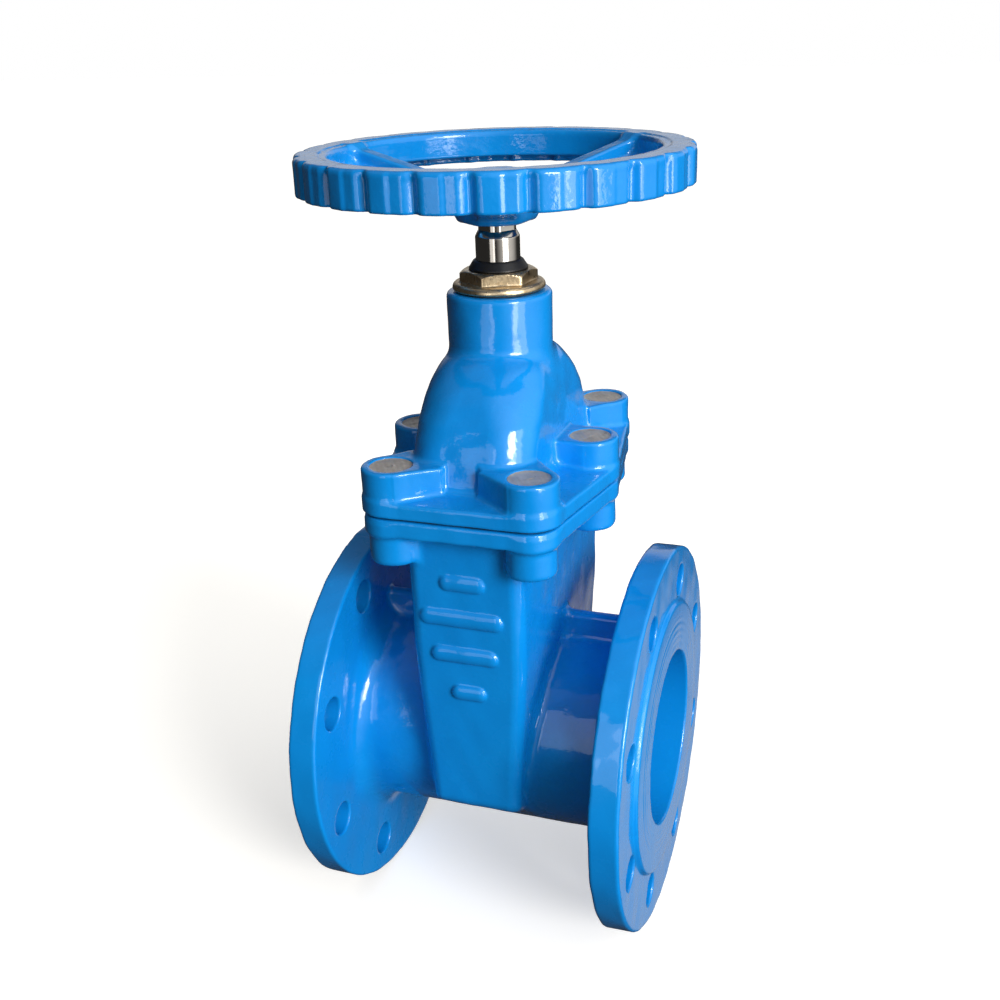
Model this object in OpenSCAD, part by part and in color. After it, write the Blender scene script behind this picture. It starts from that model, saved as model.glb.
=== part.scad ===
// Flanged, resilient-seated gate valve with a non-rising stem and a handwheel.
// Millimetres. The origin is where the stem axis crosses the waterway axis.
// +X runs along the waterway, +Z up the stem. The gate is drawn fully open.

/* [Waterway and flanges] */
// Bore of the waterway
bore_d = 100; // [96:0.5:100]
// Length over the two raised faces
face_to_face = 190; // [188:1:200]
// Outside diameter of the flanges
flange_d = 220; // [216:1:228]
// Thickness of a flange with its raised face
flange_t = 19; // [17:0.5:21]
// Diameter of the raised faces
raised_d = 156; // [150:1:158]
// Height of the raised faces
raised_h = 3; // [2:0.5:3]
// Bolt circle of the flange holes
flange_pcd = 180; // [178:0.5:182]
// Number of holes in each flange
flange_holes = 8; // [4:4:8]
// Diameter of a flange hole
flange_hole_d = 19; // [17:0.5:20]
// Outside diameter of the two branches
branch_d = 116; // [114:1:120]
// Radius of the fillet behind each flange
branch_fillet = 9; // [5:1:11]

/* [Gate housing] */
// Width of the housing along the waterway
housing_w = 66; // [64:1:70]
// Depth of the housing across the waterway
housing_d = 143; // [142:1:146]
// Radius of the housing's upright edges
housing_r = 8; // [6:1:14]
// Height of the joint face above the waterway axis
joint_z = 154.8; // [152:0.2:155]
// Thickness of the body's top flange
top_flange_t = 9.5; // [8:0.5:12]
// Height of the rib over each branch
rib_z = 73; // [68:1:76]

/* [Bonnet] */
// Thickness of the bonnet gasket
gasket_t = 1.2; // [1:0.1:1.4]
// Radius of the bonnet screw bosses
boss_r = 15.3; // [15:0.1:16]
// Height of the boss tops above the waterway axis
boss_z = 179.4; // [178:0.2:181]
// Spacing of the corner screws along the waterway
screw_x = 74; // [72:0.5:76]
// Spacing of the corner screws across the waterway
screw_y = 138; // [137:0.5:139]
// Spacing of the two side screws along the waterway
side_screw_x = 97.4; // [96:0.2:99]
// Radius of the neck
neck_r = 27.7; // [27:0.1:29]
// Height of the neck's top face
neck_z = 256; // [255.5:0.1:256.2]

/* [Stem] */
// Radius of the stem shank
stem_r = 11.6; // [11.4:0.05:11.62]
// Width across the flats of the square end
square_af = 17.4; // [16.6:0.1:17.6]
// Lift of the gate from closed to open
gate_lift = 105; // [103:0.5:106]
// Radial running clearance around the stem
run_gap = 0.07; // [0.05:0.01:0.1]

/* [Gate] */
// Radius of the gate's round lower edge
gate_r = 52.2; // [51.5:0.1:52.2]
// Half thickness of the gate at its centre
gate_half = 22; // [21.5:0.1:22]
// Side taper of the gate, in mm per mm of height
gate_taper = 0.035; // [0.03:0.001:0.036]
// Clearance between the gate and the body when shut
gate_gap = 0.35; // [0.3:0.05:0.5]

/* [Handwheel] */
// Radius over the grip lobes
wheel_r = 101.5; // [98:0.5:104]
// Number of grip lobes on the rim
wheel_lobes = 24; // [18:6:30]
// Number of spokes
wheel_spokes = 3; // [3:1:5]
// Inner radius of the rim
rim_in_r = 83.6; // [80:0.2:86]
// Height of the rim
rim_h = 19.3; // [18:0.1:22]
// Height of the rim's top face above the waterway axis
rim_z = 328.8; // [327:0.1:331]

/* [Hidden] */
$fn = 48;
eps = 0.02;

paint   = "#1a86dc";
black   = "#1c1c1e";
brass   = "#b08a4a";
steel   = "#b9bcc0";
polymer = "#e6e2d4";

half = face_to_face / 2;
bolt_face = half - raised_h;
back_face = half - flange_t;
branch_r = branch_d / 2;
bonnet_z = joint_z + gasket_t;
// corner and side screw centres, counter-clockwise from the front right corner
screws = [[screw_x/2, -screw_y/2], [side_screw_x/2, 0], [screw_x/2, screw_y/2],
          [-screw_x/2, screw_y/2], [-side_screw_x/2, 0], [-screw_x/2, -screw_y/2]];
corners = [screws[0], screws[2], screws[3], screws[5]];
shelf_z = 161;
dome_z = 167.5;
// half width, and straight length either side of the middle, of the dome at rising heights
dome = [[156, 38.5, 30.5], [165, 37.6, 31], [179.4, 36.5, 31.3], [190, 35.4, 27.5], [200, 34.4, 22],
        [209, 33, 15], [216, 31.2, 9], [221, 29.6, 4]];
roof_z = 220;
gland_r = 20;
collar_z = 225.6;
collar_h = 5.8;
gland_z = 242;
flange_z = neck_z + 1;
hex_z = 260.7;
hex_top = 267;
square_z = 286.9;
hub_z = 291.8;
hub_top = 308.6;
stem_low = 56;
stem_top = 307.6;
screw_head_z = 162.9;
wax_z = 174.9;
wheel_z0 = rim_z - rim_h;
spoke_a0 = 50.1;
lobe_a0 = 297.8;
shoe_y = 63.4;
shoe_x = 9.6;
nut_z = 64;
nut_h = 18;
cavity_half = gate_half + gate_gap;

function unit(v) = v / norm(v);
// outline around equal circles at the points p: the two ends of each tangent edge
function tangent_pts(p, r) = [for (i = [0 : len(p) - 1])
    let (a = p[i], b = p[(i + 1) % len(p)], d = unit(b - a), n = [d.y, -d.x])
    each [a + (r - eps) * n, b + (r - eps) * n]];

module prism_z(pts, z0, z1) translate([0, 0, z0]) linear_extrude(z1 - z0) polygon(pts);
// extrusion along Y of an outline given in X and Z
module prism_y(pts, d) translate([0, d / 2, 0]) rotate([90, 0, 0]) linear_extrude(d) polygon(pts);
// extrusion along X of an outline given in Y and Z
module prism_x(pts, w) translate([-w / 2, 0, 0]) rotate([90, 0, 90]) linear_extrude(w) polygon(pts);
module along_x(x0, x1, r) translate([x0, 0, 0]) rotate([0, 90, 0]) cylinder(h = x1 - x0, r = r);
module rod(z0, z1, r) translate([0, 0, z0]) cylinder(h = z1 - z0, r = r);
module ring(z0, z1, r0, r1) difference() { rod(z0, z1, r1); rod(z0 - 1, z1 + 1, r0); }
module rounded_block(w, d, r, z0, z1) {
    prism_z([[-w/2, -d/2 + r], [w/2, -d/2 + r], [w/2, d/2 - r], [-w/2, d/2 - r]], z0, z1);
    prism_z([[-w/2 + r, -d/2], [w/2 - r, -d/2], [w/2 - r, d/2], [-w/2 + r, d/2]], z0, z1);
    for (x = [-1, 1], y = [-1, 1]) translate([x * (w/2 - r), y * (d/2 - r), 0]) rod(z0, z1, r);
}
module stadium(a, d, z0, z1) {
    for (s = [-1, 1]) translate([0, s * d, 0]) rod(z0, z1, a);
    translate([-a, -d, z0]) cube([2 * a, 2 * d, z1 - z0]);
}
// flat plate with the outline of the six screw bosses
module boss_plate(r, z0, z1) {
    prism_z(tangent_pts(screws, r), z0, z1);
    for (p = screws) translate([p.x, p.y, 0]) rod(z0, z1, r);
}
module at_screws() for (p = screws) translate([p.x, p.y, 0]) children();

// ---------------------------------------------------------------- body
module housing() intersection() {
    rounded_block(housing_w, housing_d, housing_r, -60, joint_z);
    prism_y([[-housing_w/2 - 1, joint_z], [-housing_w/2 - 1, 70], [-27, -17], [-24, -60],
             [24, -60], [27, -17], [housing_w/2 + 1, 70], [housing_w/2 + 1, joint_z]], 200);
    prism_x([[-80, joint_z], [-80, 60], [-71.2, 40], [-70.6, -13], [-67, -19], [-20, -50], [0, -57],
             [20, -50], [67, -19], [70.6, -13], [71.2, 40], [80, 60], [80, joint_z]], 120);
}
// fillet where a branch runs into its flange
module flange_fillet() rotate([0, 90, 0]) translate([0, 0, back_face - branch_fillet])
    difference() {
        cylinder(h = branch_fillet + 1, r = branch_r + branch_fillet);
        rotate_extrude() translate([branch_r + branch_fillet, 0]) circle(r = branch_fillet);
        translate([0, 0, -1]) cylinder(h = branch_fillet + 3, r = branch_r - 3);
        translate([0, 0, branch_fillet]) cylinder(h = 3, r = branch_r + branch_fillet + 1);
    }
module one_flange() {
    along_x(back_face, bolt_face, flange_d / 2);
    along_x(bolt_face - 1, half, raised_d / 2);
    flange_fillet();
}
module gate_space() {
    // tapered slot for the gate, round at the bottom
    intersection() {
        union() {
            along_x(-40, 40, gate_r + gate_gap);
            translate([-40, -gate_r - gate_gap, 0]) cube([80, 2 * (gate_r + gate_gap), joint_z + 1]);
        }
        prism_y([for (s = [-1, 1], z = (s > 0 ? [joint_z + 1, -60] : [-60, joint_z + 1]))
                 [s * (cavity_half + gate_taper * z), z]], 200);
    }
    // guide channels at the front and back
    translate([-shoe_x - 0.6, -shoe_y - 0.6, -14])
        cube([2 * shoe_x + 1.2, 2 * shoe_y + 1.2, joint_z + 15]);
}
module valve_body() color(paint) difference() {
    union() {
        along_x(-back_face - 1, back_face + 1, branch_r);
        one_flange();
        mirror([1, 0, 0]) one_flange();
        housing();
        boss_plate(boss_r - 0.4, joint_z - top_flange_t, joint_z);
        at_screws() rod(127.8, joint_z, boss_r - 1.6);
        // rib over each branch, from the housing to the flange
        translate([-back_face - 1, -4.5, 40]) cube([2 * back_face + 2, 9, rib_z - 40]);
    }
    along_x(-half - 1, half + 1, bore_d / 2);
    gate_space();
    for (s = [-1, 1], i = [0 : flange_holes - 1])
        rotate([180 / flange_holes + i * 360 / flange_holes, 0, 0])
            translate([s > 0 ? back_face - 2 : -bolt_face - 2, 0, flange_pcd / 2])
                rotate([0, 90, 0]) cylinder(h = flange_t + 1, d = flange_hole_d);
    at_screws() rod(134, joint_z + 1, 6.05);
}

// ---------------------------------------------------------------- bonnet
module dome_skin() hull() for (s = dome) for (k = [-1, 1])
    translate([0, k * s[2], s[0]]) cylinder(h = 0.2, r = s[1], $fn = 40);
module sloped_shelf() hull() {
    for (p = screws) translate([p.x, p.y, shelf_z - 0.6]) cylinder(h = 0.6, r = boss_r - 0.6, $fn = 32);
    for (k = [-1, 1]) translate([0, k * 31, dome_z]) cylinder(h = 0.4, r = 38, $fn = 32);
}
// wall that ties a corner boss to the dome
module corner_arm(p) {
    sx = sign(p.x); sy = sign(p.y);
    prism_z([[sx * 10, sy * 64], [sx * 10, sy * 68], [p.x - sx * 7, p.y + sy * 13.4],
             [p.x + sx * 13.6, p.y - sy * 6.5], [sx * 36, sy * 45], [sx * 24, sy * 45]], 160, boss_z);
}
module bonnet() color(paint) difference() {
    union() {
        boss_plate(boss_r, bonnet_z, shelf_z);
        sloped_shelf();
        at_screws() rod(bonnet_z, boss_z, boss_r);
        for (p = corners) corner_arm(p);
        for (s = [-1, 1]) translate([s > 0 ? 24 : -side_screw_x/2, -boss_r + 0.05, 158])
            cube([side_screw_x/2 - 24, 2 * boss_r - 0.1, boss_z - 158]);
        dome_skin();
        rod(205, neck_z, neck_r);
    }
    // space for the raised gate
    stadium(31, 30, bonnet_z - 1, 184);
    stadium(28, 21, 183, 198);
    stadium(25, 9, 197, 207);
    rod(206, 213, 20);
    // stem passage, seal chamber and gland seat
    rod(212, roof_z + 1, stem_r + 0.9);
    rod(roof_z, neck_z + 1, gland_r);
    at_screws() {
        rod(bonnet_z - 1, screw_head_z + 1, 6.7);
        rod(screw_head_z, boss_z + 1, 11);
    }
}
module bonnet_gasket() color(black) difference() {
    boss_plate(boss_r - 1.6, joint_z, bonnet_z);
    translate([-31, -45, joint_z - 1]) cube([62, 90, gasket_t + 2]);
    translate([-27, -56, joint_z - 1]) cube([54, 112, gasket_t + 2]);
    translate([-shoe_x - 1.5, -65, joint_z - 1]) cube([2 * shoe_x + 3, 130, gasket_t + 2]);
    at_screws() rod(joint_z - 1, bonnet_z + 1, 7);
}
module bonnet_screws() color(steel) at_screws() difference() {
    union() {
        rod(136, screw_head_z + 1, 6);
        rod(screw_head_z, wax_z - 0.05, 9);
    }
    translate([0, 0, wax_z - 6]) cylinder(h = 7, r = 5.77, $fn = 6);
}
module screw_wax_plugs() color("#8f8f90") at_screws() rod(wax_z, boss_z - 0.4, 10.95);

// ---------------------------------------------------------------- stem seal
module gland_nut() color(brass) difference() {
    union() {
        rod(gland_z, flange_z + 0.5, gland_r - 0.05);
        translate([0, 0, flange_z]) cylinder(h = 1, r1 = 23.8, r2 = 24.4);
        translate([0, 0, flange_z + 1]) cylinder(h = hex_z - flange_z - 1, r1 = 24.4, r2 = 22.6);
        translate([0, 0, hex_z - 1]) rotate(24) cylinder(h = hex_top - hex_z + 1, r = 20.8, $fn = 6);
    }
    rod(gland_z - 1, hex_top + 1, stem_r + run_gap);
    rod(263.2, hex_top + 1, 15.05);
    for (z = [246.6, 252.4]) rod(z - 1.6, z + 1.6, 14.6);
    difference() { rod(242.6, 245.8, 21); rod(242, 246, 17.2); }
}
module torus(r, t, z) translate([0, 0, z]) rotate_extrude() translate([r, 0]) circle(r = t);
module inner_o_ring_lower() color(black) torus(stem_r + run_gap + 1.4, 1.4, 246.6);
module inner_o_ring_upper() color(black) torus(stem_r + run_gap + 1.4, 1.4, 252.4);
module outer_o_ring() color(black) torus(18.6, 1.35, 244.2);
module gland_seal_ring() color(black) ring(neck_z, flange_z, gland_r + 0.1, 22.9);
module wiper_ring() color(black) difference() {
    union() {
        rod(263.3, 267.2, 15);
        translate([0, 0, hex_top + 0.05]) cylinder(h = 5, r1 = 15.5, r2 = 12.6);
    }
    rod(262, 273, stem_r + run_gap);
}
module stem_bush() color(polymer) ring(234.1, gland_z, stem_r + run_gap, gland_r - 0.1);
module thrust_washer_upper() color(brass) ring(collar_z + collar_h + 0.1, 234, stem_r + run_gap, 19);
module thrust_washer_lower() color(brass) ring(223.1, collar_z - 0.1, stem_r + run_gap, 19);
module back_seal() color(black) ring(roof_z, 223, stem_r + run_gap, 19.6);

// ---------------------------------------------------------------- stem and handwheel
module square_bar(af, r, z0, z1) intersection() {
    translate([0, 0, (z0 + z1) / 2]) rotate(56) cube([af, af, z1 - z0], center = true);
    rod(z0 - 1, z1 + 1, r);
}
module stem() color(steel) difference() {
    union() {
        translate([0, 0, stem_low]) cylinder(h = 2, r1 = stem_r - 2, r2 = stem_r);
        rod(stem_low + 2, 283.9, stem_r);
        rod(collar_z, collar_z + collar_h, 17);
        translate([0, 0, 283.9]) cylinder(h = square_z - 283.9, r1 = stem_r, r2 = 9.8);
        square_bar(square_af, 9.8, square_z - 0.5, stem_top);
    }
    rod(292, stem_top + 1, 4.02);
}
function lobe_profile() = [[0, -5], [1.7, -2.6], [3.2, -0.5], [7.2, 0], [8.4, 0], [12.2, -0.6], [13.5, -2.4]];
function rim_outline(r) = [for (i = [0 : wheel_lobes - 1]) for (q = lobe_profile())
    let (a = lobe_a0 + (i + q[0] / 15) * 360 / wheel_lobes) (r + q[1]) * [cos(a), sin(a)]];
module spoke() {
    translate([0, 5, 0]) rotate([90, 0, 0]) linear_extrude(10)
        polygon([[14, 298], [14, 307.6], [rim_in_r + 1.5, 326.3], [rim_in_r + 1.5, 318]]);
    translate([0, 10, 0]) rotate([90, 0, 0]) linear_extrude(20)
        polygon([[14, 295.5], [14, 301], [rim_in_r + 1.5, 319.5], [rim_in_r + 1.5, 315]]);
}
module handwheel() color(paint) difference() {
    union() {
        // rim, open in the middle, with a hollow underside between two skirts
        difference() {
            union() {
                prism_z(rim_outline(wheel_r), wheel_z0, rim_z - 1.2);
                translate([0, 0, rim_z - 1.21]) linear_extrude(1.21) polygon(rim_outline(wheel_r - 1.1));
            }
            rod(wheel_z0 - 1, rim_z + 1, rim_in_r);
            ring(wheel_z0 - 1, rim_z - 4.5, rim_in_r + 4.5, wheel_r - 9);
            rod(wheel_z0 - 1, wheel_z0 + 4.5, rim_in_r + 5);
        }
        for (i = [0 : wheel_spokes - 1]) rotate(spoke_a0 + i * 360 / wheel_spokes) spoke();
        translate([0, 0, hub_z]) cylinder(h = 1.7, r1 = 18.1, r2 = 19.7);
        translate([0, 0, hub_z + 1.7]) cylinder(h = hub_top - hub_z - 1.7, r1 = 19.7, r2 = 18);
    }
    square_bar(square_af + 0.2, 9.9, hub_z - 1, hub_top + 1);
}
module wheel_washer() color(steel) ring(hub_top, hub_top + 2, 4.3, 12);
module wheel_screw() color(steel) {
    translate([0, 0, hub_top + 2]) cylinder(h = 5.3, r = 7.5, $fn = 6);
    rod(294, hub_top + 2.01, 3.98);
}

// ---------------------------------------------------------------- gate
module gate_outline(r, half_w, top) intersection() {
    union() {
        along_x(-40, 40, r);
        prism_x([[-r, 0], [r, 0], [r, 40], [24, 74], [24, top], [-24, top], [-24, 74], [-r, 40]], 80);
    }
    prism_y([for (s = [-1, 1], z = (s > 0 ? [100, -60] : [-60, 100])) [s * (half_w + gate_taper * z), z]], 200);
}
module guide_lugs() for (s = [-1, 1]) translate([-6, s > 0 ? 40 : -60, -5]) cube([12, 20, 38]);
module nut_slot() translate([-40, -17.3, nut_z - 0.2]) cube([80, 34.6, nut_h + 0.4]);
module in_place() translate([0, 0, gate_lift]) children();
module wedge_core() color("#4a4d50") in_place() difference() {
    union() { gate_outline(gate_r - 2.5, gate_half - 2.5, 86); guide_lugs(); }
    rod(-60, 100, 14);
    nut_slot();
}
module wedge_rubber() color(black) in_place() difference() {
    gate_outline(gate_r, gate_half, 88);
    difference() { gate_outline(gate_r - 2.5, gate_half - 2.5, 86); rod(-60, 100, 14); }
    guide_lugs();
    rod(-60, 100, 13);
    nut_slot();
}
module wedge_nut() color(brass) in_place() difference() {
    translate([-16, -17, nut_z]) cube([32, 34, nut_h]);
    rod(nut_z - 1, nut_z + nut_h + 1, stem_r + run_gap);
}
module guide_shoe() difference() {
    translate([-shoe_x, gate_r + 0.1, -10]) cube([2 * shoe_x, shoe_y - gate_r - 0.1, 48]);
    translate([-6.1, gate_r - 1, -5.1]) cube([12.2, 61.2 - gate_r, 38.2]);
}
module guide_shoe_front() color(polymer) in_place() mirror([0, 1, 0]) guide_shoe();
module guide_shoe_back() color(polymer) in_place() guide_shoe();

valve_body();
bonnet();
bonnet_gasket();
bonnet_screws();
screw_wax_plugs();
gland_nut();
gland_seal_ring();
wiper_ring();
stem_bush();
inner_o_ring_lower();
inner_o_ring_upper();
outer_o_ring();
thrust_washer_upper();
thrust_washer_lower();
back_seal();
stem();
handwheel();
wheel_washer();
wheel_screw();
wedge_core();
wedge_rubber();
wedge_nut();
guide_shoe_front();
guide_shoe_back();
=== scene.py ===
import bpy, bmesh, math
import numpy as np
from mathutils import Vector, Matrix


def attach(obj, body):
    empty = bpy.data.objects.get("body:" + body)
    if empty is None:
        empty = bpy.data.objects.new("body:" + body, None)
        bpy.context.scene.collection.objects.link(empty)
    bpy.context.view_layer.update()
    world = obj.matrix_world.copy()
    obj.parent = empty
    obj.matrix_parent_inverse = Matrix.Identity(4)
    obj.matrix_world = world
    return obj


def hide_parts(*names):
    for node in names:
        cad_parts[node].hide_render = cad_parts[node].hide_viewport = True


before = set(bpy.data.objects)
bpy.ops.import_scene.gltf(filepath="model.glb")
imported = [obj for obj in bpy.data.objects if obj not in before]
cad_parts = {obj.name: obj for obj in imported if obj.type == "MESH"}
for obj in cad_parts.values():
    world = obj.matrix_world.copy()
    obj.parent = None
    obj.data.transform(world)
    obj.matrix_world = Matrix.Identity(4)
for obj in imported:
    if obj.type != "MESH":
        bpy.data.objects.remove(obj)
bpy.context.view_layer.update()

# ------------------------------------------------------------------ solid modelling on a grid
# Castings are described as distance functions in millimetres, with every inside corner filleted
# and every outside edge rounded, and turned into one closed quad mesh by dual contouring.

F = np.float32

def smin(a, b, k):
    h = np.clip(0.5 + 0.5 * (b - a) / k, 0, 1)
    return b + (a - b) * h - k * h * (1 - h)

def smax(a, b, k):
    h = np.clip(0.5 - 0.5 * (b - a) / k, 0, 1)
    return b + (a - b) * h + k * h * (1 - h)

def rbox2(u, v, hu, hv, r):
    du = np.abs(u) - (hu - r); dv = np.abs(v) - (hv - r)
    return np.hypot(np.maximum(du, 0), np.maximum(dv, 0)) + np.minimum(np.maximum(du, dv), 0) - r

def poly2(x, y, pts):
    """Signed distance to a convex polygon, corners given counter-clockwise."""
    d2 = None; s = None
    n = len(pts)
    for i in range(n):
        ax, ay = pts[i]; bx, by = pts[(i + 1) % n]
        ex, ey = bx - ax, by - ay
        L2 = ex * ex + ey * ey
        wx, wy = x - ax, y - ay
        t = np.clip((wx * ex + wy * ey) / L2, 0, 1)
        q = (wx - ex * t) ** 2 + (wy - ey * t) ** 2
        e = (wx * ey - wy * ex) / math.sqrt(L2)
        d2 = q if d2 is None else np.minimum(d2, q)
        s = e if s is None else np.maximum(s, e)
    return np.where(s > 0, np.sqrt(d2), -np.sqrt(d2))

def cyl_z(x, y, z, cx, cy, r, z0, z1, k=0.0):
    d = np.hypot(x - cx, y - cy) - r
    e = np.maximum(z0 - z, z - z1)
    return smax(d, e, k) if k else np.maximum(d, e)

def dual_contour(f, lo, hi, h, chunk=400000, sharp=0.02):
    """Closed quad mesh of f = 0 inside the box lo..hi, with cells of size h."""
    lo = np.array(lo, float); hi = np.array(hi, float)
    n = np.ceil((hi - lo) / h).astype(int) + 1
    # coarse pass: find the blocks that the surface can cross
    B = 4
    nb = np.ceil((n - 1) / B).astype(int)
    c = [lo[i] + (np.arange(nb[i]) + 0.5) * B * h for i in range(3)]
    X, Y, Z = np.meshgrid(*c, indexing="ij")
    fc = np.concatenate([f(X.ravel()[i:i + chunk].astype(F), Y.ravel()[i:i + chunk].astype(F), Z.ravel()[i:i + chunk].astype(F))
                         for i in range(0, X.size, chunk)]).reshape(X.shape)
    near = np.abs(fc) < B * h * 1.45
    V = np.full(tuple(nb * B + 1), np.nan, F)
    # sign far away from the surface
    S = np.repeat(np.repeat(np.repeat(np.where(fc < 0, F(-1e3), F(1e3)), B, 0), B, 1), B, 2)
    V[:-1, :-1, :-1] = S
    V[-1] = 1e3; V[:, -1] = 1e3; V[:, :, -1] = 1e3
    bi = np.argwhere(near)
    o = np.arange(B + 1)
    ox, oy, oz = [a.ravel() for a in np.meshgrid(o, o, o, indexing="ij")]
    flat = []
    sh = V.shape
    for i in range(0, len(bi), 20000):
        b = bi[i:i + 20000] * B
        ix = (b[:, 0:1] + ox).ravel(); iy = (b[:, 1:2] + oy).ravel(); iz = (b[:, 2:3] + oz).ravel()
        flat.append(np.ravel_multi_index((ix, iy, iz), sh))
    idx = np.unique(np.concatenate(flat))
    Vf = V.ravel()
    for i in range(0, len(idx), chunk):
        j = idx[i:i + chunk]
        ix, iy, iz = np.unravel_index(j, sh)
        Vf[j] = f((lo[0] + ix * h).astype(F), (lo[1] + iy * h).astype(F), (lo[2] + iz * h).astype(F))
    V = Vf.reshape(sh)
    V[0] = 1e3; V[:, 0] = 1e3; V[:, :, 0] = 1e3; V[-1] = 1e3; V[:, -1] = 1e3; V[:, :, -1] = 1e3
    neg = V < 0
    # edges with a sign change, along each axis
    P, E, inward = [], [], []
    for ax in range(3):
        a = [slice(None)] * 3; b = [slice(None)] * 3
        a[ax] = slice(0, -1); b[ax] = slice(1, None)
        na, nbm = neg[tuple(a)], neg[tuple(b)]
        e = np.argwhere(na != nbm)
        va = V[tuple(a)][tuple(e.T)].astype(float); vb = V[tuple(b)][tuple(e.T)].astype(float)
        t = np.clip(va / (va - vb), 0.001, 0.999)
        p = lo + e * h
        p = p.astype(float); 
        pa = p.copy(); p[:, ax] += t * h
        # one secant step makes the crossing exact on curved stretches
        fv = np.concatenate([f(*[p[k:k + chunk, q].astype(F) for q in range(3)]) for k in range(0, len(p), chunk)]).astype(float) if len(p) else np.zeros(0)
        lo_t = np.where((fv < 0) == (va < 0), t, 0.0); lo_v = np.where((fv < 0) == (va < 0), fv, va)
        hi_t = np.where((fv < 0) == (va < 0), 1.0, t); hi_v = np.where((fv < 0) == (va < 0), vb, fv)
        den = lo_v - hi_v
        t2 = lo_t + (hi_t - lo_t) * np.clip(np.where(np.abs(den) > 1e-9, lo_v / np.where(np.abs(den) > 1e-9, den, 1), 0.5), 0, 1)
        p = pa; p[:, ax] += t2 * h
        P.append(p); E.append(e); inward.append(na[tuple(e.T)])
    pts = np.concatenate(P)
    g = np.empty_like(pts); d = 0.12 * h
    for i in range(0, len(pts), chunk):
        q = pts[i:i + chunk]
        for k in range(3):
            qa = q.copy(); qb = q.copy(); qa[:, k] += d; qb[:, k] -= d
            g[i:i + chunk, k] = f(*[qa[:, m].astype(F) for m in range(3)]) - f(*[qb[:, m].astype(F) for m in range(3)])
    g /= np.maximum(np.linalg.norm(g, axis=1, keepdims=True), 1e-9)
    # cells around each edge
    csh = tuple(np.array(sh) - 1)
    off = 0; quads = []; cell_of = []; pt_of = []
    for ax in range(3):
        e = E[ax]; m = len(e); u, v = (ax + 1) % 3, (ax + 2) % 3
        cells = []
        for du, dv in ((0, 0), (1, 0), (1, 1), (0, 1)):
            c = e.copy(); c[:, u] -= du; c[:, v] -= dv
            cells.append(np.ravel_multi_index(c.T, csh))
        q = np.stack(cells, 1)
        flip = ~inward[ax]
        q[flip] = q[flip][:, ::-1]
        quads.append(q)
        for c in cells:
            cell_of.append(c); pt_of.append(np.arange(off, off + m))
        off += m
    cell_of = np.concatenate(cell_of); pt_of = np.concatenate(pt_of)
    uc, inv = np.unique(cell_of, return_inverse=True)
    cnt = np.bincount(inv).astype(float)
    N = g[pt_of]; Q = pts[pt_of]
    mean = np.stack([np.bincount(inv, Q[:, k]) for k in range(3)], 1) / cnt[:, None]
    rhs = (N * (Q - mean[inv])).sum(1)
    A = np.zeros((len(uc), 3, 3)); bb = np.zeros((len(uc), 3))
    for i in range(3):
        bb[:, i] = np.bincount(inv, N[:, i] * rhs)
        for j in range(i, 3):
            A[:, i, j] = np.bincount(inv, N[:, i] * N[:, j]); A[:, j, i] = A[:, i, j]
    A += np.eye(3) * (sharp * cnt)[:, None, None]
    x = np.linalg.solve(A, bb[..., None])[..., 0]
    ijk = np.stack(np.unravel_index(uc, csh), 1)
    c0 = lo + ijk * h
    vert = np.clip(mean + x, c0 - 0.05 * h, c0 + 1.05 * h)
    quads = np.searchsorted(uc, np.concatenate(quads))
    return vert, quads

def mesh_object(name, verts_mm, faces, smooth=True):
    me = bpy.data.meshes.new(name)
    v = np.asarray(verts_mm, float) / 1000.0
    if isinstance(faces, np.ndarray):
        nf = len(faces); k = faces.shape[1]
        me.vertices.add(len(v)); me.vertices.foreach_set("co", v.ravel())
        me.loops.add(nf * k); me.loops.foreach_set("vertex_index", faces.ravel().astype(np.int32))
        me.polygons.add(nf)
        me.polygons.foreach_set("loop_start", (np.arange(nf) * k).astype(np.int32))
        me.polygons.foreach_set("loop_total", np.full(nf, k, np.int32))
        me.update(calc_edges=True); me.validate()
    else:
        me.from_pydata([tuple(p) for p in v], [], [tuple(q) for q in faces]); me.update()
    if smooth:
        me.polygons.foreach_set("use_smooth", np.ones(len(me.polygons), bool))
    ob = bpy.data.objects.new(name, me)
    bpy.context.scene.collection.objects.link(ob)
    return ob

# ------------------------------------------------------------------ the castings
SCREWS = [(37.0, -69.0), (48.7, 0.0), (37.0, 69.0), (-37.0, 69.0), (-48.7, 0.0), (-37.0, -69.0)]
JOINT_Z, BONNET_Z, BOSS_Z, NECK_Z = 154.8, 156.0, 179.4, 256.0

def wave(x, y, z, amp):
    """Slow unevenness of a painted sand casting."""
    return amp * (np.sin(x * 0.21 + 1.3 * np.sin(y * 0.11 + 0.7)) * np.sin(z * 0.17 + 1.1 * np.sin(x * 0.13))
                  + 0.6 * np.sin(y * 0.33 + z * 0.19 + 2.0) * np.sin(x * 0.29 - z * 0.23))

def housing_sdf(x, y, z):
    ay = np.abs(y)
    t = (70.0 - z) / 6.0
    w = 33.2 - 0.0705 * 6.0 * np.logaddexp(0, np.clip(t, -20, 40)).astype(F)
    d = 71.6 - 0.012 * np.clip(150 - z, 0, 200)
    w2 = w - 2.2 * np.clip(-y / 71.0, 0, 1.1) ** 4
    f = rbox2(x, y, w2, d, 6.5)
    under = 0.45 * ay - 0.893 * z - 49.6
    f = smax(f, under, 4.5)
    return smax(f, z - JOINT_Z + 1.0, 0.5)

# plain round-topped bars cast on the front of the housing: (x, z, half length, half height)
BARS = [(-0.5, 117.5, 12.5, 4.3), (-2.0, 97.0, 23.0, 4.5), (-1.0, 75.5, 18.5, 4.3), (0.5, 53.0, 9.5, 4.0)]

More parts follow.
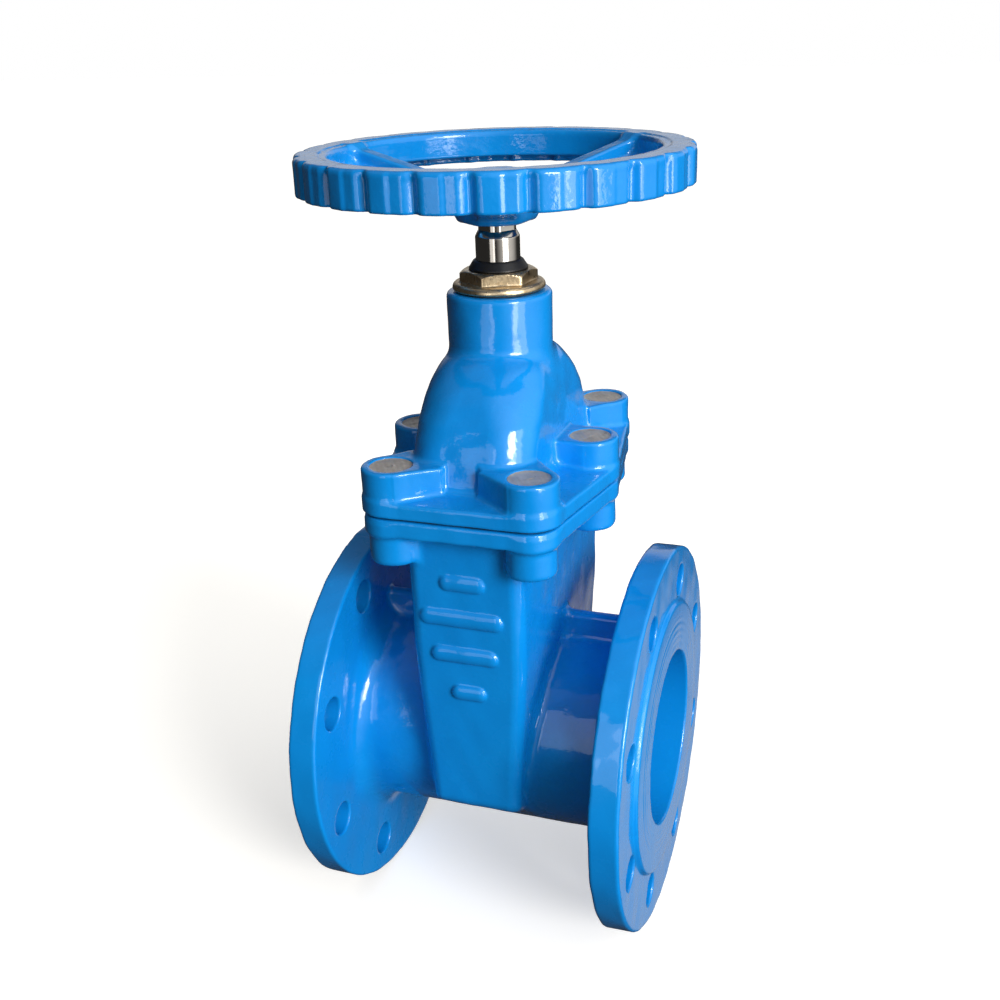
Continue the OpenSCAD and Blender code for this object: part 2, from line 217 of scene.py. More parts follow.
def body_sdf(x, y, z):
    ax, ay = np.abs(x), np.abs(y)
    rho = np.hypot(y, z)
    outl = poly2(x, y, SCREWS)
    # waterway: branch, flange, raised face
    pipe = np.maximum(rho - 58.0, ax - 85.0)
    fl = smax(np.maximum(rho - 109.75, 0 * rho - 500), np.abs(ax - 84.0) - 8.0, 1.8)
    f = smin(pipe, fl, 14.0)
    rf = smax(rho - 78.0, np.abs(ax - 88.0) - 7.0, 2.4)
    f = smin(f, rf, 2.2)
    # rib over each branch
    rib = rbox2(y, z - 40.0, 4.6 - 0.02 * (z - 40.0), 33.0, 2.6)
    rib = np.maximum(rib, ax - 80.0)
    f = smin(f, rib, 3.5)
    # housing of the gate
    f = smin(f, housing_sdf(x, y, z), 6.5)
    near = (y < -60) & (z > 35) & (z < 130) & (ax < 32)
    if near.any():
        xn, yn, zn = x[near], y[near], z[near]
        m = np.full(xn.shape, 1e3, F)
        for xc, zc, hw, hh in BARS:
            m = np.minimum(m, np.hypot(np.maximum(np.abs(xn - xc) - (hw - hh), 0), zn - zc) - hh)
        lift = 1.75 - 1.15 * np.clip(1 + m / 4.0, 0, 2) ** 2
        top = -(yn + 71.3) - lift
        f[near] = smin(f[near], smax(m, top, 1.0), 1.1)
    # top flange with its screw bosses
    plate = smax(outl - 14.9, np.abs(z - 150.05) - 4.75, 1.6)
    f = smin(f, plate, 6.5)
    for cx, cy in SCREWS:
        b = smax(np.hypot(x - cx, y - cy) - 13.4, 127.7 - z, 3.6)
        b = np.maximum(b, z - 150.0)
        f = smin(f, b, 4.0)
    f = f + wave(x, y, z, F(0.13))
    f = smax(f, z - JOINT_Z, 0.9)
    # everything cut by machining
    ring = 0.085 * (1 + np.cos(rho * (2 * math.pi / 3.9))) * np.clip((70.5 - rho) / 3.0, 0, 1) * np.clip((rho - 51.5) / 1.5, 0, 1)
    ring = (ring + 0.040 * np.clip(rho - 60.0, 0, 18.0)).astype(F)
    f = smax(f, ax - 95.0 + ring, 0.6)
    f = smax(f, 50.0 - rho, 0.9)
    slot = np.maximum(np.minimum(rho, np.where(z > 0, ay, 1e3)) - 52.55, ax - (22.35 + 0.035 * z))
    slot = np.maximum(slot, -60 - z)
    chan = np.maximum(rbox2(x, y, 10.2, 64.0, 1.5), -14.0 - z)
    slot = smin(slot, chan, 1.2)
    f = smax(f, -slot, 1.0)
    a = np.arctan2(y, z)
    k = np.round((a - math.pi / 8) / (math.pi / 4)) * (math.pi / 4) + math.pi / 8
    hole = np.hypot(y - 90.0 * np.sin(k), z - 90.0 * np.cos(k)) - 9.5
    hole = np.where(ax > 70, hole, 1e3)
    f = smax(f, -hole, 0.8)
    hs = np.full(x.shape, 1e3, F)
    for cx, cy in SCREWS:
        hs = np.minimum(hs, np.hypot(x - cx, y - cy) - 6.05)
    hs = np.maximum(hs, 134.0 - z)
    f = smax(f, -hs, 0.5)
    return f.astype(F)

_dz = np.array([140, 156, 165, 172, 179.4, 188, 197, 207, 212, 216, 219, 222, 224.5, 226.7, 228, 232, 260], float)
_da = np.array([35.5, 35.0, 34.0, 33.4, 33.0, 33.1, 33.0, 32.2, 31.2, 29.9, 28.6, 26.5, 23.5, 19.0, 16, 12, 10], float)
_db = np.array([67.5, 67.0, 65.4, 64.6, 63.6, 60.6, 56.2, 50.4, 46.8, 43.4, 40.4, 36.8, 32.6, 28.0, 24.0, 16, 10], float)
_tz = np.linspace(140, 260, 481)
def _smooth(v):
    w = np.interp(_tz, _dz, v)
    k = np.exp(-0.5 * (np.arange(-14, 15) / 4.0) ** 2); k /= k.sum()
    p = np.concatenate([np.full(14, w[0]), w, np.full(14, w[-1])])
    return np.convolve(p, k, "valid")
_ta, _tb = _smooth(_da), _smooth(_db)
_slope = np.hypot(1, np.gradient(_tb, _tz))

def arm_pts(sx, sy):
    px, py = sx * 37.0, sy * 69.0
    p = [(sx * 9.5, sy * 62), (sx * 10.0, sy * 68.5), (px - sx * 7.0, py + sy * 13.3),
         (px + sx * 13.5, py - sy * 6.6), (sx * 36.0, sy * 45.5), (sx * 24, sy * 45)]
    if sx * sy > 0:
        p = p[::-1]
    return p if sum((p[i][0] * p[(i + 1) % 6][1] - p[(i + 1) % 6][0] * p[i][1]) for i in range(6)) > 0 else p[::-1]
ARMS = [arm_pts(sx, sy) for sx in (-1, 1) for sy in (-1, 1)]

def bonnet_sdf(x, y, z):
    ax, ay = np.abs(x), np.abs(y)
    rho = np.hypot(x, y)
    outl = poly2(x, y, SCREWS) - 15.3
    # flange with its sloped top
    f = smax(outl, (z - 163.9 + 0.085 * np.maximum(outl, -26)) * 0.996, 1.8)
    # dome: a loaf that is longer across the waterway and closes on the neck
    a = np.interp(z, _tz, _ta).astype(F); b = np.interp(z, _tz, _tb).astype(F)
    d = np.maximum(b - a, 0)
    end = a * np.interp(z, [179, 197, 216, 224], [0.62, 0.68, 0.88, 0.95]).astype(F)
    dome = np.hypot(np.maximum(ax - (a - end), 0), np.maximum(ay - (b - end), 0)) - end
    dome = np.maximum(dome, np.maximum(ax - a, ay - b))
    dome = dome / np.interp(z, _tz, _slope).astype(F)
    dome = np.maximum(dome, 156 - z)
    arms = np.full(x.shape, 1e3, F)
    for p in ARMS:
        arms = np.minimum(arms, poly2(x, y, p))
    side = np.maximum(np.abs(y) - 14.8, np.maximum(20 - ax, ax - 48.7))
    arms = np.minimum(arms, side)
    boss = np.full(x.shape, 1e3, F)
    for cx, cy in SCREWS:
        boss = np.minimum(boss, np.hypot(x - cx, y - cy) - 15.2)
    top = smax(smin(arms, boss, 1.2), z - BOSS_Z, 1.7)
    top = np.maximum(top, 157.5 - z)
    f = smin(f, dome, 5.5)
    f = smin(f, top, 2.8)
    neck = smax(rho - 27.7, np.abs(z - 228.0) - 28.0, 3.0)
    f = smin(f, neck, 3.6)
    f = f + wave(x, y, z, F(0.13))
    f = smax(f, BONNET_Z - z, 0.9)
    # inside
    def stad(aa, dd, z0, z1):
        return np.maximum(np.hypot(x, np.maximum(ay - dd, 0)) - aa, np.maximum(z0 - z, z - z1))
    cav = smin(stad(27.3, 30.5, 140, 184), stad(26.4, 21, 150, 198), 2.0)
    cav = smin(cav, stad(24, 9, 150, 206), 2.0)
    cav = smin(cav, stad(20, 0, 150, 213), 2.0)
    f = smax(f, -cav, 1.2)
    f = smax(f, -np.maximum(rho - 12.5, np.abs(z - 216.0) - 8), 0.4)
    f = smax(f, -np.maximum(rho - 20.0, 220.0 - z), 0.6)
    cb = np.full(x.shape, 1e3, F)
    for cx, cy in SCREWS:
        q = np.hypot(x - cx, y - cy)
        cb = np.minimum(cb, np.minimum(np.maximum(q - 11.0, 162.9 - z), q - 6.7))
    f = smax(f, -cb, 0.9)
    return f.astype(F)

SPOKE_A0, LOBE_A0 = math.radians(50.1), math.radians(297.8)
_lt = np.linspace(0, 1, 241)
_lp = np.interp(_lt * 15, [0, 1.0, 2.2, 3.4, 7.3, 7.9, 9.2, 12.4, 13.6, 15],
                [-4.2, -3.4, -1.0, -0.25, 0.0, 0.05, -0.75, -0.95, -2.0, -4.2])
_k = np.exp(-0.5 * (np.arange(-9, 10) / 3.6) ** 2); _k /= _k.sum()
_lp = np.convolve(np.concatenate([_lp[-10:-1], _lp, _lp[1:10]]), _k, "valid")

def wheel_sdf(x, y, z):
    rho = np.hypot(x, y); th = np.arctan2(y, x)
    ph = ((th - LOBE_A0) / (math.pi / 12)) % 1.0
    lobe = np.interp(ph, _lt, _lp).astype(F)
    zt, zb = 328.5, 309.5
    ease = np.clip((z - (zt - 6.0)) / 6.0, 0, 1)
    R = 101.15 + lobe * (1 - 0.55 * ease * ease)
    f = smax((rho - R) * 0.93, z - zt, 3.4)
    f = smax(f, zb - z, 1.6)
    f = smax(f, 83.6 - rho, 0.1)
    f = smax(f, (83.6 - rho + (z - zt) * 1.0) * 0.7 + 1.3, 1.4)
    # shallow step down to the inner edge
    f = smax(f, -np.maximum(rho - 88.4, zt - 0.75 - z), 0.35)
    # hollow underside between the outer and the inner skirt
    hol = np.maximum(np.maximum(88.0 - rho, rho - (96.3 + 0.6 * lobe)), z - 324.3)
    f = smax(f, -hol, 1.6)
    inner = np.maximum(rho - 89.5, z - 314.0)
    f = smax(f, -inner, 1.4)
    # spokes
    sp = np.full(x.shape, 1e3, F)
    for i in range(3):
        c, s = math.cos(SPOKE_A0 + i * 2 * math.pi / 3), math.sin(SPOKE_A0 + i * 2 * math.pi / 3)
        u = x * c + y * s; v = -x * s + y * c
        zz = (z - (307.6 + (u - 14.0) * 18.5 / 71.0)) * 0.968
        ridge = rbox2(v, zz + 6.0, 4.9 + 0.0 * zz, 6.0, 1.5)
        base = rbox2(v, zz + 10.6, 10.0, 2.9, 1.8)
        s1 = smin(ridge, base, 3.2)
        sp = np.minimum(sp, np.maximum(s1, np.maximum(10.0 - u, u - 86.0)))
    hub = smax(rho - (19.8 - 0.085 * (z - 293.0)), np.abs(z - 300.2) - 8.4, 2.6)
    w = smin(sp, hub, 6.5)
    f = smin(f, w, 6.0)
    # machined top, keep inside the rim
    f = smax(f, z - zt, 0.5)
    f = f + wave(x * 1.2, y * 1.2, z, F(0.06))
    a = math.radians(56); c, s = math.cos(a), math.sin(a)
    sq = np.maximum(np.maximum(np.abs(x * c + y * s), np.abs(-x * s + y * c)) - 8.8, rho - 9.9)
    return smax(f, -sq, 0.5).astype(F)

import time
_t0 = time.time()
def stamp(s):
    print("[%6.1f s] %s" % (time.time() - _t0, s))

# ------------------------------------------------------------------ turned and milled pieces
def rings_mesh(name, rings, closed=False):
    """Skin over a list of rings, each an (n, 3) array in mm. Ends with one point close to a pole."""
    verts, faces, idx = [], [], []
    for r in rings:
        r = np.atleast_2d(r); idx.append((len(verts), len(r))); verts += [tuple(p) for p in r]
    pairs = list(zip(range(len(rings) - 1), range(1, len(rings))))
    if closed:
        pairs.append((len(rings) - 1, 0))
    for a, b in pairs:
        (ia, na), (ib, nb) = idx[a], idx[b]
        if na == 1 and nb == 1:
            continue
        n = max(na, nb)
        for k in range(n):
            k2 = (k + 1) % n
            if na == 1:
                faces.append((ia, ib + k2, ib + k))
            elif nb == 1:
                faces.append((ia + k, ia + k2, ib))
            else:
                faces.append((ia + k, ia + k2, ib + k2, ib + k))
    ob = mesh_object(name, verts, faces)
    bm = bmesh.new(); bm.from_mesh(ob.data); bmesh.ops.recalc_face_normals(bm, faces=bm.faces); bm.to_mesh(ob.data); bm.free()
    return ob

def soften(ob, angle=32.0):
    """Crisp arrises stay crisp, and the small fillets beside flats shade as fillets."""
    ob.data.set_sharp_from_angle(angle=math.radians(angle))
    m = ob.modifiers.new("normals", "WEIGHTED_NORMAL"); m.keep_sharp = True; m.weight = 60
    return ob

def fillets(pts, radii, seg=4):
    """Corners of an (r, z) polygon rounded by arcs."""
    out = []; n = len(pts)
    for i in range(n):
        p = np.array(pts[i], float); rr = radii[i] if hasattr(radii, "__len__") else radii
        a = np.array(pts[i - 1], float) - p; b = np.array(pts[(i + 1) % n], float) - p
        la, lb = np.linalg.norm(a), np.linalg.norm(b); a /= la; b /= lb
        c = float(np.clip(a @ b, -1, 1)); half = math.acos(c) / 2
        if rr <= 0 or half < 0.05 or abs(half - math.pi / 2) < 0.02:
            out.append(tuple(p)); continue
        t = min(rr / math.tan(half), 0.45 * la, 0.45 * lb); r = t * math.tan(half)
        mid = a + b; mid /= np.linalg.norm(mid); cen = p + mid * (r / math.sin(half))
        s, e = p + a * t - cen, p + b * t - cen
        a0 = math.atan2(s[1], s[0]); a1 = math.atan2(e[1], e[0])
        d = (a1 - a0 + math.pi) % (2 * math.pi) - math.pi
        for k in range(seg + 1):
            q = a0 + d * k / seg; out.append((cen[0] + r * math.cos(q), cen[1] + r * math.sin(q)))
    return out

def lathe(name, pts, radii=0.4, seg=128, at=(0, 0), fine=4):
    """Closed profile of (r, z) corners turned about the stem axis."""
    prof = fillets(pts, radii, fine)
    t = np.linspace(0, 2 * math.pi, seg, endpoint=False)
    rings = [np.stack([at[0] + r * np.cos(t), at[1] + r * np.sin(t), np.full(seg, z)], 1) for r, z in prof]
    return soften(rings_mesh(name, rings, closed=True))

def polar(name, levels, seg=144, turn=0.0, at=(0, 0), poles=True):
    """Piece whose sections are star-shaped: levels are (z, function of the angle giving r)."""
    t = np.linspace(0, 2 * math.pi, seg, endpoint=False)
    rings = []
    for z, fr in levels:
        r = fr(t, z) if callable(fr) else np.full(seg, float(fr))
        zz = z(t) if callable(z) else np.full(seg, float(z))
        if np.all(r < 1e-6):
            rings.append(np.array([[at[0], at[1], float(zz[0])]]))
        else:
            rings.append(np.stack([at[0] + r * np.cos(t + turn), at[1] + r * np.sin(t + turn), zz], 1))
    return rings_mesh(name, rings, closed=not poles)

def polygon_r(t, n, apothem, a0=0.0, soft=0.0):
    w = 2 * math.pi / n
    u = (t - a0 + w / 2) % w - w / 2
    r = apothem / np.cos(u)
    if soft:
        lim = apothem / math.cos(w / 2) - soft
        h = np.clip(0.5 + 0.5 * (lim - r) / soft, 0, 1)
        r = lim + (r - lim) * h - soft * h * (1 - h)
    return r

def make(ob, node, body):
    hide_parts(node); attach(ob, body)
    return ob

hq = 0.95
PIECES = {}
def casting(name, f, lo, hi, h, node, body, sharp=0.02):
    v, q = dual_contour(f, lo, hi, h, sharp=sharp)
    ob = mesh_object(name, v, q)
    make(ob, node, body)
    PIECES[name] = ob
    stamp("%s %d" % (name, len(v)))
    return ob

casting("body_casting", body_sdf, (-97, -112, -112), (97, 112, 157), hq, "valve_body", "housing")
casting("bonnet_casting", bonnet_sdf, (-66, -87, 154), (66, 87, 258), hq * 0.84, "bonnet", "housing")
casting("handwheel_casting", wheel_sdf, (-104, -104, 290), (104, 104, 331), hq * 0.84, "handwheel", "spindle")

# ---- gasket: the joint's outline, squeezed a little proud in the middle of its edge
def gasket_sdf(x, y, z):
    ay = np.abs(y); ax = np.abs(x)
    o = poly2(x, y, SCREWS) - 12.9 + 0.10 * wave(x * 3, y * 3, z, 1.0)
    f = smax(o, np.abs(z - 155.4) - 0.6, 0.5)
    hole = np.minimum(rbox2(x, y, 31, 45, 9), np.minimum(rbox2(x, y, 27, 56, 9), rbox2(x, y, 11.1, 65, 3)))
    f = smax(f, -hole, 0.3)
    s = np.full(x.shape, 1e3, F)
    for cx, cy in SCREWS:
        s = np.minimum(s, np.hypot(x - cx, y - cy) - 7)
    return smax(f, -s, 0.3).astype(F)
casting("bonnet_gasket_sheet", gasket_sdf, (-66, -86, 154.2), (66, 86, 156.6), 0.45, "bonnet_gasket", "housing")

# ---- gland nut: turned flange under a chamfered hexagon
def gland():
    seg = 240
    t = np.linspace(0, 2 * math.pi, seg, endpoint=False)
    a0 = math.radians(24) + math.pi / 6
    L = []
    # up the inside, from the bottom
    for z, r in fillets([(11.68, 242.05), (11.68, 245.0), (14.55, 245.02), (14.55, 248.18), (11.68, 248.2), (11.68, 250.8),
                         (14.55, 250.82), (14.55, 253.98), (11.68, 254.0), (11.68, 263.2), (15.05, 263.22), (15.05, 266.95)],
                        [0.3, .12, .3, .3, .12, .12, .3, .3, .12, .12, .2, .3], 2):
        pass
    inner = fillets([(11.68, 242.05), (11.68, 245.0), (14.55, 245.02), (14.55, 248.18), (11.68, 248.2), (11.68, 250.8),
                     (14.55, 250.82), (14.55, 253.98), (11.68, 254.0), (11.68, 263.2), (15.05, 263.22), (15.05, 266.2)],
                    [0, .12, .3, .3, .12, .12, .3, .3, .12, .12, .2, 0], 2)
    rings = [(z, lambda t, zz, r=r: np.full(seg, r)) for r, z in inner]
    rings += [(266.75, lambda t, zz: np.full(seg, 15.25)), (267.0, lambda t, zz: np.full(seg, 15.75))]
    ap = 20.8 * math.cos(math.pi / 6)
    def hexr(lim):
        return lambda t, zz: np.minimum(polygon_r(t, 6, ap, a0, 0.30), lim)
    # top face, then the chamfered corners and the flats
    for z, lim in ((267.0, 16.6), (266.99, 17.3), (266.93, 17.75), (266.7, 18.25), (266.35, 18.85), (266.0, 19.45), (265.6, 20.1), (265.2, 20.8),
                   (264.4, 30), (263.2, 30), (262.2, 30), (261.6, 30)):
        rings.append((z, hexr(lim)))
    def foot(k):
        return lambda t, zz: (1 - k) * np.minimum(polygon_r(t, 6, ap, a0, 0.30), 30) + k * 22.3
    rings += [(261.15, foot(0.06)), (260.85, foot(0.3)), (260.72, foot(0.7)), (260.66, foot(1.0))]
    outer = [(22.75, 260.62), (23.25, 260.4), (23.75, 259.95), (24.12, 259.35), (24.34, 258.7), (24.4, 258.05), (24.34, 257.6),
             (24.15, 257.25), (23.9, 257.06), (23.6, 257.02), (20.1, 257.0), (19.95, 256.85)]
    rings += [(z, lambda t, zz, r=r: np.full(seg, r)) for r, z in outer]
    # screwed part with its O-ring groove
    for k in range(44):
        z = 256.6 - k * 0.24
        r = 19.93 - 0.42 * (0.5 - 0.5 * math.cos(2 * math.pi * k / 6.25))
        rings.append((z, lambda t, zz, r=r: np.full(seg, r)))
    low = fillets([(19.93, 245.95), (19.93, 245.8), (17.2, 245.78), (17.2, 242.62), (19.93, 242.6), (19.93, 242.05)],
                  [0, .12, .3, .3, .12, .3], 2)
    rings += [(z, lambda t, zz, r=r: np.full(seg, r)) for r, z in low]
    ob = rings_mesh("gland_nut_turned", [np.stack([fr(t, z) * np.cos(t), fr(t, z) * np.sin(t), np.full(seg, z)], 1) for z, fr in rings], closed=True)
    return soften(ob, 28)
make(gland(), "gland_nut", "housing")
stamp("gland")

# ---- wiper: soft cone with a lip that meets the stem
wiper = lathe("stem_wiper", [(11.69, 263.35), (14.85, 263.35), (14.95, 266.9), (15.4, 267.2), (15.45, 267.9), (15.0, 268.6),
                             (13.2, 271.4), (12.35, 272.0), (11.8, 271.8), (11.69, 270.9), (12.3, 269.2), (12.25, 266.5), (11.69, 265.2)],
              [.3, .5, .4, .3, .5, .6, .7, .3, .15, .2, .6, .6, .3], seg=128)
make(wiper, "wiper_ring", "housing")
make(lathe("gland_sealing_ring", [(20.15, 256.03), (22.85, 256.03), (22.85, 256.97), (20.15, 256.97)], .28, seg=128),
     "gland_seal_ring", "housing")
make(lathe("stem_bush_turned", [(11.69, 234.12), (19.85, 234.12), (19.85, 237.6), (19.45, 237.62), (19.45, 238.6), (19.85, 238.62), (19.85, 241.95), (11.69, 241.95)],
           [.5, .5, .1, .15, .15, .1, .5, .5], seg=128), "stem_bush", "housing")
for nm, node, R, r, z in (("inner_seal_lower", "inner_o_ring_lower", 13.07, 1.38, 246.6), ("inner_seal_upper", "inner_o_ring_upper", 13.07, 1.38, 252.4),
                          ("outer_seal", "outer_o_ring", 18.6, 1.34, 244.2)):
    pr = []
    for k in range(20):
        q = 2 * math.pi * k / 20
        flash = 0.035 if k in (0, 10) else 0.0
        pr.append((R + (r - 0.04 + flash) * math.cos(q), z + (r - 0.04) * math.sin(q)))
    make(lathe(nm, pr, 0, seg=112), node, "housing")

def washer(name, node, z0, z1, r0, r1, body, pockets=6, depth=0.35):
    """Thrust washer with shallow oil grooves across its faces."""
    seg = 192
    t = np.linspace(0, 2 * math.pi, seg, endpoint=False)
    g = np.clip(1.6 - np.abs(((t * pockets / (2 * math.pi) + 0.5) % 1) - 0.5) * 2 * math.pi / pockets * 0.5 * (r0 + r1) * 1.0, 0, 0.9) / 0.9 * depth
    def ring(r, z, k):
        return np.stack([r * np.cos(t), r * np.sin(t), z - k * g], 1)
    c = 0.35
    R = [ring(r0, z0 + c, 0), ring(r0, z1 - c, 0), ring(r0 + c, z1, 1)]
    for f in np.linspace(0, 1, 7)[1:-1]:
        R.append(ring(r0 + c + (r1 - r0 - 2 * c) * f, z1, 1))
    R += [ring(r1 - c, z1, 1), ring(r1, z1 - c, 0), ring(r1, z0 + c, 0), ring(r1 - c, z0, -1)]
    for f in np.linspace(1, 0, 7)[1:-1]:
        R.append(ring(r0 + c + (r1 - r0 - 2 * c) * f, z0, -1))
    R.append(ring(r0 + c, z0, -1))
    ob = soften(rings_mesh(name, R, closed=True), 25)
    return make(ob, node, body)
washer("thrust_washer_upper_grooved", "thrust_washer_upper", 231.5, 234.0, 11.68, 19.0, "housing")
washer("thrust_washer_lower_grooved", "thrust_washer_lower", 223.1, 225.5, 11.68, 19.0, "housing")
make(lathe("back_seal_ring", [(11.69, 220.02), (19.55, 220.02), (19.55, 222.98), (16.6, 222.98), (16.2, 222.5), (14.6, 222.5), (14.2, 222.98), (11.69, 222.98)],
           [.4, .4, .4, .2, .3, .3, .2, .4], seg=128), "back_seal", "housing")

# ---- stem: left-hand trapezoidal thread, thrust collar, polished shank, square end
def stem():
    seg = 144
    t = np.linspace(0, 2 * math.pi, seg, endpoint=False)
    pitch = 5.0
    def thread(z, fade):
        ph = (z + pitch * t / (2 * math.pi)) / pitch % 1.0
        tri = np.abs(ph - 0.5) * 2          # 1 on the crest, 0 in the root
        prof = np.clip((tri - 0.27) / 0.30, 0, 1)
        prof = prof * prof * (3 - 2 * prof) * 0.35 + prof * 0.65
        return 11.55 - 2.45 * (1 - prof) * fade
    R = []
    def circ(r, z):
        R.append(np.stack([r * np.cos(t), r * np.sin(t), np.full(seg, z)], 1))
    def free(r, z):
        R.append(np.stack([r * np.cos(t), r * np.sin(t), np.full(seg, z)], 1))
    R.append(np.array([[0, 0, 56.0]]))
    for r in (3, 6, 8.6):
        circ(r, 56.0)
    z = 56.35
    step = 0.36
    while z < 214.5:
        fade = min(1.0, max(0.0, (214.0 - z) / 4.0))
        r = thread(z, fade)
        r = np.minimum(r, 8.9 + (z - 56.0) * 0.9)
        free(r, z); z += step
    circ(11.58, 215.5); circ(11.6, 216.2); circ(11.6, 223.6); circ(11.58, 224.9)
    for r, zz in fillets([(11.6, 225.6), (16.98, 225.62), (16.98, 231.38), (11.6, 231.4)], [.5, .6, .6, .5], 3):
        circ(r, zz)
    for zz in (232.4, 240, 250, 258, 264, 270, 276, 281.6, 283.2):
        circ(11.6, zz)
    for r, zz in ((11.58, 283.65), (11.5, 283.95), (11.3, 284.4), (10.35, 286.2), (10.0, 286.72), (9.84, 286.86)):
        circ(r, zz)
    a0 = math.radians(56)
    sq = np.minimum(polygon_r(t, 4, 8.7, a0), 9.8)
    # the cutter leaves a small step and a fillet where the flats start
    for k, zz in ((0.0, 286.92), (0.10, 286.97), (0.75, 287.0), (0.93, 287.12), (1.0, 287.4)):
        free(9.8 + (sq - 9.8) * k, zz)
    for zz in (289, 291.5, 296, 301, 305.4, 306.4):
        free(sq, zz)
    for k, zz in ((0.25, 306.85), (0.6, 307.25), (1.0, 307.58)):
        free(sq - 0.75 * k, zz)
    free(sq * 0 + 6.2, 307.6)
    circ(4.75, 307.6); circ(4.35, 307.2); circ(4.05, 306.8)
    zz = 306.4
    while zz > 293.2:
        ph = (zz / 1.25) % 1.0
        r = 4.05 - 0.0 * ph
        circ(r, zz); zz -= 1.7
    circ(4.05, 292.4); circ(3.9, 292.05)
    R.append(np.array([[0, 0, 292.0]]))
    ob = rings_mesh("valve_stem", R)
    return soften(ob, 30)
make(stem(), "stem", "spindle")
stamp("stem")

# ---- wheel washer and screw
make(lathe("handwheel_washer", [(4.32, 308.62), (11.98, 308.62), (11.98, 310.58), (4.32, 310.58)], [.3, .45, .6, .4], seg=96),
     "wheel_washer", "spindle")
def hex_screw():
    seg = 120
    t = np.linspace(0, 2 * math.pi, seg, endpoint=False)
    ap = 7.5 * math.cos(math.pi / 6)
    R = [np.array([[0, 0, 294.05]])]
    def add(r, z):
        R.append(np.stack([r * np.cos(t), r * np.sin(t), np.full(seg, z)], 1))
    one = np.ones(seg)
    add(1.5 * one, 294.05); add(3.0 * one, 294.08)
    z = 294.3
    while z < 308.1:
        ph = (z - 1.25 * t / (2 * math.pi)) / 1.25 % 1.0
        d = np.clip(np.abs(ph - 0.5) * 2, 0.12, 0.94)
        r = 3.28 + 0.66 * (d - 0.12) / 0.82
        add(np.minimum(r, 3.0 + (z - 294.05) * 0.8), z); z += 0.21
    add(3.94 * one, 308.4); add(3.95 * one, 310.6)
    add(5.7 * one, 310.62); add(5.85 * one, 310.66); add(5.85 * one, 310.92)
    hexr = polygon_r(t, 6, ap, 0.0, 0.12)
    for z, lim in ((310.94, 5.85), (311.0, 6.3), (311.15, 6.75), (311.5, 7.25), (311.9, 30), (313.6, 30), (314.5, 30), (314.9, 7.2), (315.3, 6.75), (315.6, 6.35), (315.84, 5.9)):
        add(np.minimum(hexr, lim), z)
    add(5.5 * one, 315.9); add(4.6 * one, 315.88); add(4.2 * one, 315.7); add(2.0 * one, 315.65)
    R.append(np.array([[0, 0, 315.64]]))
    return soften(rings_mesh("handwheel_screw", R), 28)
make(hex_screw(), "wheel_screw", "spindle")

# ---- bonnet screws: knurled socket heads on M12 threads, all six in one mesh
def socket_screws():
    seg = 72
    t = np.linspace(0, 2 * math.pi, seg, endpoint=False)
    one = np.ones(seg)
    P = []
    add = lambda r, z: P.append((r * one, z))
    P.append((None, 136.02)); add(2.5, 136.02); add(4.6, 136.05)
    z = 136.3
    while z < 161.6:
        ph = (z - 1.75 * t / (2 * math.pi)) / 1.75 % 1.0
        d = np.clip(np.abs(ph - 0.5) * 2, 0.12, 0.92)
        r = 5.0 + 0.95 * (d - 0.12) / 0.8
        r = np.minimum(r, 4.7 + (z - 136) * 0.9)
        r = r + (5.95 - r) * min(1, max(0, (z - 160.4) / 1.0))
        P.append((r, z)); z += 0.32
    add(5.98, 162.2); add(6.2, 162.7); add(6.6, 162.9); add(8.4, 162.92); add(8.75, 163.05)
    kn = 0.16 * (0.5 + 0.5 * np.cos(t * 36))
    P.append((8.95 - 0.02 * one, 163.4))
    for zz in (163.8, 166.5, 169.5, 172.4):
        P.append((8.97 - kn, zz))
    add(8.95, 172.9); add(8.9, 173.6); add(8.65, 174.3); add(8.2, 174.72); add(7.7, 174.84); add(6.1, 174.84)
    h = polygon_r(t, 6, 5.0, 0.0, 0.06)
    P.append((np.minimum(h, 5.98), 174.8)); P.append((np.minimum(h, 5.72), 174.45)); P.append((np.minimum(h, 5.6), 174.1))
    P.append((h - 0.01, 173.4)); P.append((h - 0.01, 169.3)); P.append((np.minimum(h, 5.2), 168.95)); P.append((2.4 * one, 168.2))
    P.append((None, 167.6))
    vs, fs = [], []
    for k, (cx, cy) in enumerate(SCREWS):
        rings = []
        rot = 0.4 * k
        for r, z in P:
            if r is None:
                rings.append(np.array([[cx, cy, z]]))
            else:
                rings.append(np.stack([cx + r * np.cos(t + rot), cy + r * np.sin(t + rot), np.full(seg, z)], 1))
        ob = rings_mesh("tmp_screw", rings)
        n = len(vs)
        vs += [tuple(c * 1000 for c in v.co) for v in ob.data.vertices]
        fs += [tuple(i + n for i in p.vertices) for p in ob.data.polygons]
        me = ob.data; bpy.data.objects.remove(ob); bpy.data.meshes.remove(me)
    return soften(mesh_object("bonnet_socket_screws", vs, fs), 30)
make(socket_screws(), "bonnet_screws", "housing")
stamp("screws")

